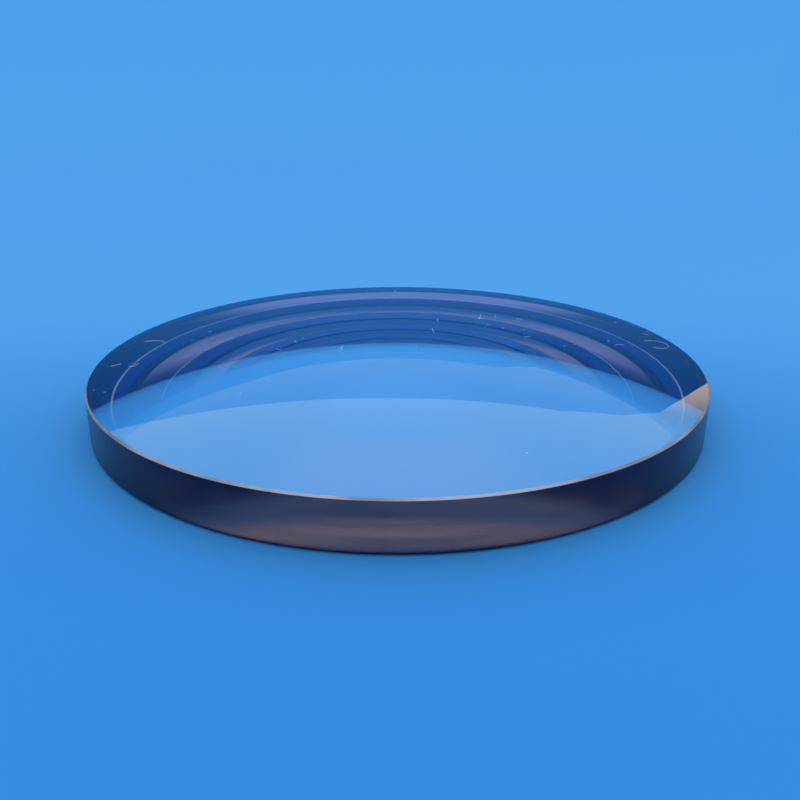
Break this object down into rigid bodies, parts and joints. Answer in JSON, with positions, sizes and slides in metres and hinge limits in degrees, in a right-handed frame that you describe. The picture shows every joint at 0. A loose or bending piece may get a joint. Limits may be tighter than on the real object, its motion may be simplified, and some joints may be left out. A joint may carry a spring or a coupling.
{
  "type": "front lens element",
  "caption": "Round glass meniscus lens element with a slightly domed front face, a hollowed rear face, a narrow flat seat round the hollow and a blackened ground edge.",
  "frame": {"origin": "on the optical axis, in the plane of the narrow flat seat that the lens lies on", "axes": "+Z along the optical axis, towards the domed front face; X and Y across the disc, which is the same all round"},
  "size_m": [0.072, 0.072, 0.0067],
  "materials": {
    "optical_glass": "polished and thinly coated front and rear faces; fine ground wall, seat and bevels, with black edge ink on the wall and foot bevel"
  },
  "bodies": {
    "root": {"lens_element": "optical_glass"}
  },
  "joints": []
}
